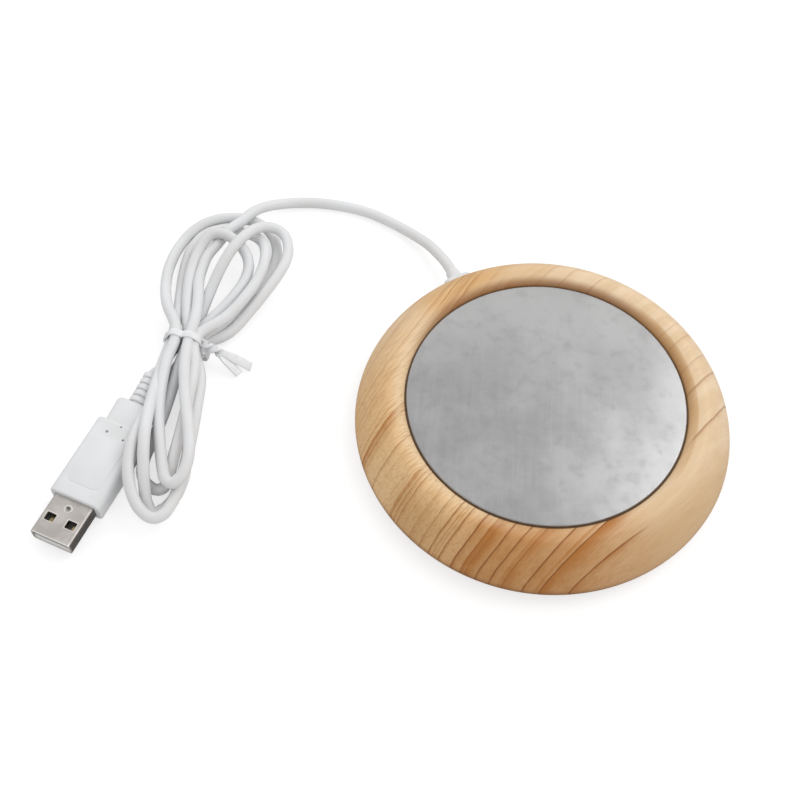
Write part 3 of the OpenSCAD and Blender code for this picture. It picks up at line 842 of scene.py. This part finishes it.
def late_wood(across, lines):
    """Lines of late wood as a ramp over the grain. Each row is (place, depth of the dark line, its
    width, depth of the caramel below it, its width)."""
    breaks = set()
    for at, _, dark_width, _, warm_width in lines:
        breaks |= {round(at - step, 2) for step in (warm_width, dark_width, crisp, -crisp)}
    low, high = min(breaks), max(breaks)
    stops = []
    for x in sorted(breaks):
        darkest = max(line_depth(x, at, depth, width) for at, depth, width, _, _ in lines)
        warmest = max(line_depth(x, at, depth, width) for at, _, _, depth, width in lines)
        stops.append(((x - low) / (high - low), (darkest, warmest, 0, 1)))
    ramp = wood.add("ShaderNodeValToRGB", {"stops": stops}, [(across - low) / (high - low)])
    return [
        wood.add("ShaderNodeSeparateColor", sockets=[ramp], output=channel) for channel in (0, 1)
    ]


def sector(across, shown, *groups):
    """The dark and the caramel of some groups of lines, where the mask shows them."""
    dark, warm = late_wood(across, groups[0])
    for lines in groups[1:]:
        more_dark, more_warm = late_wood(across, lines)
        dark, warm = dark + more_dark, warm + more_warm
    return dark * shown, warm * shown


left_dark, left_warm = sector(
    left_lines, 1 - (u - v * 0.35).band(-2, 14),
    [(51.8, 0.3, 0.4, 0.3, 2.6), (49, 0.15, 0.5, 0, 1), (46.9, 0.1, 0.4, 0.2, 2),
     (44.8, 0.35, 0.4, 0.35, 2), (42.3, 0.2, 0.4, 0.25, 2), (40.3, 0.35, 0.4, 0.35, 2),
     (38.3, 0.1, 0.5, 0.3, 2.5)],
    [(33.8, 0.1, 0.5, 0.3, 2), (31.2, 0, 0.5, 0.5, 1.4), (28.8, 0.3, 0.5, 0.9, 3.6),
     (26.6, 0.55, 0.6, 0.6, 3), (24.6, 0.2, 0.6, 0.4, 2), (17.6, 0.55, 0.6, 0.5, 2),
     (13.4, 0.25, 0.5, 0.2, 1.5)],
    [(7.2, 0.3, 0.5, 0.2, 1), (4.6, 0, 0.5, 0.6, 1.5), (4.1, 0.4, 0.4, 0.6, 1.2),
     (2.9, 0.35, 0.4, 0.6, 1.3), (1.5, 0.5, 0.5, 0.5, 1.6), (-1, 0.25, 0.5, 0.2, 1)],
    [(-3.6, 0.35, 0.4, 0.4, 3), (-7.2, 0.5, 0.5, 0.4, 1.6), (-10.3, 0.8, 0.5, 0.5, 1.2),
     (-11.6, 0.5, 0.4, 0.4, 0.6), (-12.3, 0.3, 0.4, 0.4, 1), (-13.4, 0.75, 0.5, 0.5, 1.6)],
    [(-17, 0.9, 0.65, 0.7, 3), (-19.7, 0.5, 0.5, 0.95, 3), (-20.9, 0.35, 0.5, 0.95, 2.6),
     (-23.7, 0.9, 0.6, 0.5, 2), (-27, 0.9, 0.6, 0.5, 1.5), (-29, 0, 0.5, 0.6, 2),
     (-29.9, 0.5, 0.6, 0.7, 3.5)],
    [(-34.3, 0.9, 0.6, 0.5, 3), (-37, 0, 0.5, 0.7, 1.5), (-38.5, 0.9, 0.7, 1, 6.5),
     (-46.2, 0.9, 0.65, 0.7, 3)],
)
right_dark, right_warm = sector(
    right_lines, u.band(14, 24),
    [(-16, 0.3, 0.8, 0.2, 2), (-20.5, 0.35, 0.8, 0.2, 2), (-27.3, 0.35, 0.8, 0.2, 2),
     (-32.5, 0.5, 0.8, 0.3, 2), (-40.6, 0.6, 0.8, 0.3, 2)],
    [(23.4, 0.3, 0.8, 0.2, 2), (18, 0.35, 0.8, 0.2, 2), (9.6, 0.4, 0.8, 0.2, 2)],
)
back_dark, back_warm = sector(
    left_lines, u.band(-7, 0) * (1 - u.band(11, 20)),
    [(44.2, 0.3, 0.4, 0.15, 1.3), (42.4, 0.4, 0.4, 0.2, 1.2), (41.1, 0.45, 0.35, 0.25, 1.2),
     (39.6, 0.4, 0.4, 0.2, 1.2), (38.1, 0.35, 0.4, 0.2, 1.4)],
)
dark, caramel = left_dark + right_dark + back_dark, left_warm + right_warm + back_warm
warm = caramel * (0.62 + streak * 0.7 + (fibre - 0.5) * 0.5)

# The ground tone goes from golden at the left to pale at the right. At the front left it has a
# pale stretch with a tanned flank below it, the front is toasted, and the back is darker.
left_side = 1 - u.band(-44, 6)
base = wood.blend(streak.band(0.3, 0.7), srgb(240, 214, 179), srgb(230, 200, 160))
base = wood.blend(left_side * 0.78, base, srgb(226, 181, 120))
pale = left_side * left_lines.band(-13, -6) * (1 - left_lines.band(18, 28))
base = wood.blend(pale * 0.35, base, srgb(236, 202, 154))
front_left = left_side * left_lines.band(-16, -8) * (1 - left_lines.band(0, 11))
base = wood.blend(front_left * radius.band(44.5, 49.5) * 0.5, base, srgb(190, 142, 82))
front = (1 - v.band(-50, -36)) * u.band(-34, -8)
base = wood.blend(front * 0.55, base, srgb(198, 154, 98))
toast = (1 - left_lines.band(-24, -8)) * (1 - (u + v * 0.3).band(-46, -14))
base = wood.blend(toast * (0.5 + streak * 0.7) * 0.8, base, srgb(184, 121, 56))
back = v.band(22, 38) * u.band(0, 14)
base = wood.blend(back * 0.5, base, srgb(216, 172, 116))
behind_gland = v.band(37, 42) * u.band(-12, -1) * (1 - u.band(12, 30))
base = wood.blend(behind_gland * 0.6, base, srgb(218, 166, 94))
base = wood.blend(warm.band(0.0, 0.95), base, srgb(180, 114, 44))
# The lip has a painted highlight at the left, and painted shade on it at the back and at the right.
painted_highlight = (1 - radius.band(40.5, 44)) * ((u * -0.95 + v * 0.3) / radius).band(0.3, 0.95)
base = wood.blend(painted_highlight * 0.6, base, srgb(242, 216, 176))
painted_lip_shade = (1 - radius.band(39.4, 42)) * ((u * 0.87 + v * 0.5) / radius).band(-0.1, 0.6)
base = wood.blend(painted_lip_shade * 0.82, base, srgb(152, 98, 48))
painted_lip_shade_right = (1 - radius.band(41.2, 42.0)) * ((u * 0.82 - v * 0.57) / radius).band(0.66, 0.9)
base = wood.blend(painted_lip_shade_right * (0.35 + ripple * 0.4), base, srgb(200, 154, 96))
# The rim below the belly is darker: painted shade where it turns under. The dark lines, the fibres
# and the pores lie over it all.
painted_foot_shade = 1 - height.band(3.6, 6.6)
base = wood.blend(painted_foot_shade * (0.25 + left_side * 0.4), base, srgb(126, 80, 40))
base = wood.blend(dark.band(0.0, 1.0) * 0.9, base, srgb(128, 68, 8))
base = wood.blend(fibre.band(0.42, 0.75) * (0.14 + left_side * 0.36), base, srgb(166, 106, 50))
base = wood.blend(pores.band(0.62, 0.74) * (0.08 + left_side * 0.08), base, srgb(128, 78, 36))
wood.feed({"Base_Color": base, "Roughness": 0.36 + fibre * 0.12 + dark * 0.06})
wood.bump(fibre * 0.5 - dark * 0.15 - pores.band(0.64, 0.72) * 0.3, 0.015)
wood.cover(ring)
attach(ring, "root")
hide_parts("wood_grain_ring")


# ---------------------------------------------------------------------------------------------
# Plate: a stamped steel disc with a fine brushed face and a small rolled edge. It sits a little
# below the crest, on a dark rubber gasket that shows as a thin line round it.

plate = turned("plate", [
    (plate_r - 0.1, plate_z - plate_t), (plate_r, plate_z - plate_t + 0.1),
    (plate_r, plate_z - 0.4), (plate_r - 0.05, plate_z - 0.22), (plate_r - 0.15, plate_z - 0.09),
    (plate_r - 0.32, plate_z - 0.02), (plate_r - 0.5, plate_z),
], 192)
finish_mesh(plate, smooth_angle=50)

# The brush went to and fro nearly along Y, and once more across. The face is cloudy from handling,
# and a painted sheen makes it brighter at the right and the back.
brushed = Finish("brushed_plate", Metallic=1.0)
along_strokes, across_strokes = (0, 0, radians(-87)), (0, 0, radians(3))
strokes = brushed.noise(brushed.place((0.05, 1.6, 1), turn=along_strokes), detail=5, roughness=0.7)
cross = brushed.noise(brushed.place((0.06, 1.3, 1), turn=across_strokes), detail=4, roughness=0.65)
cloud = brushed.noise(brushed.place(0.05), detail=4, roughness=0.6)
mottle = brushed.noise(brushed.place(0.3), detail=3)
plate_x, plate_y = brushed.axes(brushed.place(), "XY")
painted_plate_sheen = (plate_x * 0.91 - plate_y * 0.19 + (cloud - 0.5) * 40).band(4, 48)
tone = brushed.blend(cloud.band(0.35, 0.68), srgb(155, 155, 155), srgb(170, 170, 170))
tone = brushed.blend(painted_plate_sheen * 0.52, tone, srgb(204, 204, 204))
tone = brushed.blend(plate_y.band(-8, 40) * 0.6, tone, srgb(187, 187, 186))
tone = brushed.blend(strokes.band(0.45, 0.75) * 0.25, tone, srgb(186, 185, 184))
tone = brushed.blend(cross.band(0.5, 0.8) * 0.15, tone, srgb(182, 181, 180))
tone = brushed.blend(mottle.band(0.48, 0.75) * 0.25, tone, srgb(140, 140, 140))
brushed.feed({"Base_Color": tone, "Roughness": 0.36 + strokes * 0.1 + mottle * 0.1})
brushed.bump(strokes * 0.4 + cross * 0.25 + mottle * 0.2, 0.012)
brushed.cover(plate)
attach(plate, "root")
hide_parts("heating_plate")

gasket_rubber = Finish("gasket_rubber", Specular_IOR_Level=0.3)
fine = gasket_rubber.noise(gasket_rubber.place(1.2), detail=3)
gasket_rubber.feed({
    "Base_Color": gasket_rubber.blend(fine, srgb(92, 70, 50), srgb(108, 84, 62)),
    "Roughness": 0.6 + fine * 0.2,
})
gasket_rubber.bump(fine, 0.02)
gasket_rubber.cover("plate_gasket")


# ---------------------------------------------------------------------------------------------
# Base and feet: an off-white moulded cover closes the ring from below. Four rubber pads stand in
# its pockets, and four screws go up through it into the ring's bosses.

base_plastic = Finish("base_plastic", Specular_IOR_Level=0.4)
fine = base_plastic.noise(base_plastic.place(1.8), detail=4)
broad = base_plastic.noise(base_plastic.place(0.05), detail=2)
off_white, dull_white = srgb(226, 222, 212), srgb(217, 212, 201)
base_plastic.feed({
    "Base_Color": base_plastic.blend(broad.band(0.3, 0.7), off_white, dull_white),
    "Roughness": 0.45 + fine * 0.15,
})
base_plastic.bump(fine, 0.02)
base_plastic.cover("base_cover", "cord_clamp")
foot_rubber = Finish("foot_rubber", Specular_IOR_Level=0.3)
fine = foot_rubber.noise(foot_rubber.place(2.5), detail=4)
foot_rubber.feed({
    "Base_Color": foot_rubber.blend(fine, srgb(58, 58, 60), srgb(74, 74, 76)),
    "Roughness": 0.65 + fine * 0.2,
})
foot_rubber.bump(fine, 0.03)
foot_rubber.cover("foot_rear", "foot_left", "foot_front", "foot_right")
screw_steel = Finish("screw_steel", Metallic=1.0)
fine = screw_steel.noise(screw_steel.place(2.0), detail=4)
screw_steel.feed({
    "Base_Color": screw_steel.blend(fine, srgb(190, 192, 195), srgb(165, 167, 170)),
    "Roughness": 0.28 + fine * 0.2,
})
screw_steel.cover("base_screws", "retainer_screws", "clamp_screws")


# ---------------------------------------------------------------------------------------------
# Heater stack: an etched track on a brown film lies against the plate, with felt below it, and a
# zinc-plated disc holds them up. A small thermal cut-out is pressed to the film by a spring clip.


def plain_finish(name, nodes, first, second, rough, scale, depth, metal=0.0):
    """Covers some CAD nodes with a finish of two close tones that vary with a fine grain."""
    finish = Finish(name, Metallic=metal)
    grain = finish.noise(finish.place(scale), detail=4)
    finish.feed({
        "Base_Color": finish.blend(grain.band(0.3, 0.7), srgb(*first), srgb(*second)),
        "Roughness": rough + grain * 0.15,
    })
    finish.bump(grain, depth)
    finish.cover(*nodes)


# One finish a row: its name and nodes, its two tones, roughness, scale and depth of its grain, and
# whether it is a metal.
drawn = (0.5, 5, 5)
for row in (
    ("heater_film", ["heater_film"], (196, 118, 40), (176, 98, 30), 0.3, 0.6, 0.005),
    ("heater_track", ["heater_track"], (176, 110, 80), (150, 92, 66), 0.35, 1.0, 0.004, 1.0),
    ("solder", ["solder_joints"], (196, 198, 200), (172, 174, 176), 0.25, 1.5, 0.02, 1.0),
    ("felt", ["insulation_pad"], (226, 224, 218), (200, 197, 190), 0.8, (1.5, 1.5, 4), 0.12),
    ("zinc_sheet", ["retainer_plate"], (176, 182, 190), (150, 156, 164), 0.35, 0.35, 0.01, 1.0),
    ("cutout_case", ["thermal_cutout"], (196, 178, 120), (176, 158, 104), 0.3, 0.9, 0.01, 1.0),
    ("spring_steel", ["cutout_clip"], (142, 146, 152), (118, 122, 128), 0.3, drawn, 0.01, 1.0),
):
    plain_finish(*row)


# ---------------------------------------------------------------------------------------------
# Wires: the cord's red and black cores go to the cut-out and to the track, and a short link joins
# the cut-out to the track. Glass sleeves cover the cut-out's two joints.

sleeved = ["link_wire", "red_sleeve", "link_sleeve"]
for row in (
    ("red_insulation", ["red_wire"], (186, 32, 28), (168, 26, 24), 0.35, 1.2, 0.01),
    ("black_insulation", ["black_wire"], (34, 34, 36), (46, 46, 48), 0.35, 1.2, 0.01),
    ("glass_sleeving", sleeved, (214, 204, 176), (190, 180, 150), 0.6, 2.5, 0.05),
):
    plain_finish(*row)


# ---------------------------------------------------------------------------------------------
# Studio: a wide white table top that runs out of view on all sides, a white sky, and two large
# soft lamps. They aren't part of the object.

# The table glows a little where it is seen, so that it stays white but for a soft shadow.
bpy.ops.mesh.primitive_plane_add(size=8)
table = bpy.context.object
table.name = "table"
table_white = Finish("table_white", Roughness=0.9, Specular_IOR_Level=0.1)
seen = table_white.add("ShaderNodeLightPath", output="Is Camera Ray")
mirrored = table_white.add("ShaderNodeLightPath", output="Is Glossy Ray")
bounce_white, view_white = (0.9, 0.9, 0.9, 1), (0.45, 0.45, 0.45, 1)
table_white.feed({
    "Base_Color": table_white.blend(seen.greater(mirrored), bounce_white, view_white),
    "Emission_Color": (1, 1, 1, 1), "Emission_Strength": seen * 0.66,
})
table_white.cover(table)

# The sky is seen as full white and lights the object with less.
world = bpy.data.worlds.new("studio")
bpy.context.scene.world = world
world.use_nodes = True
sky = world.node_tree.nodes["Background"]
sky.inputs["Color"].default_value = (0.99, 0.99, 1, 1)
sky_seen = world.node_tree.nodes.new("ShaderNodeLightPath")
sky_level = world.node_tree.nodes.new("ShaderNodeMapRange")
sky_level.inputs["To Min"].default_value = 0.74
sky_level.inputs["To Max"].default_value = 1.05
world.node_tree.links.new(sky_seen.outputs["Is Camera Ray"], sky_level.inputs["Value"])
world.node_tree.links.new(sky_level.outputs["Result"], sky.inputs["Strength"])


def soft_lamp(name, place, aim, size, power):
    lamp_data = bpy.data.lights.new(name, "AREA")
    lamp_data.shape = "SQUARE"
    lamp_data.size = size
    lamp_data.energy = power
    lamp = bpy.data.objects.new(name, lamp_data)
    bpy.context.scene.collection.objects.link(lamp)
    turn = (Vector(aim) - Vector(place)).to_track_quat("-Z", "Y")
    lamp.matrix_world = Matrix.Translation(place) @ turn.to_matrix().to_4x4()


soft_lamp("lamp_right", (0.6, 0.35, 0.9), (0, 0, 0), 0.7, 3.6)
soft_lamp("lamp_back", (-0.35, 0.85, 0.6), (-0.05, 0, 0), 0.8, 1.5)

bpy.context.scene.view_settings.view_transform = "Standard"
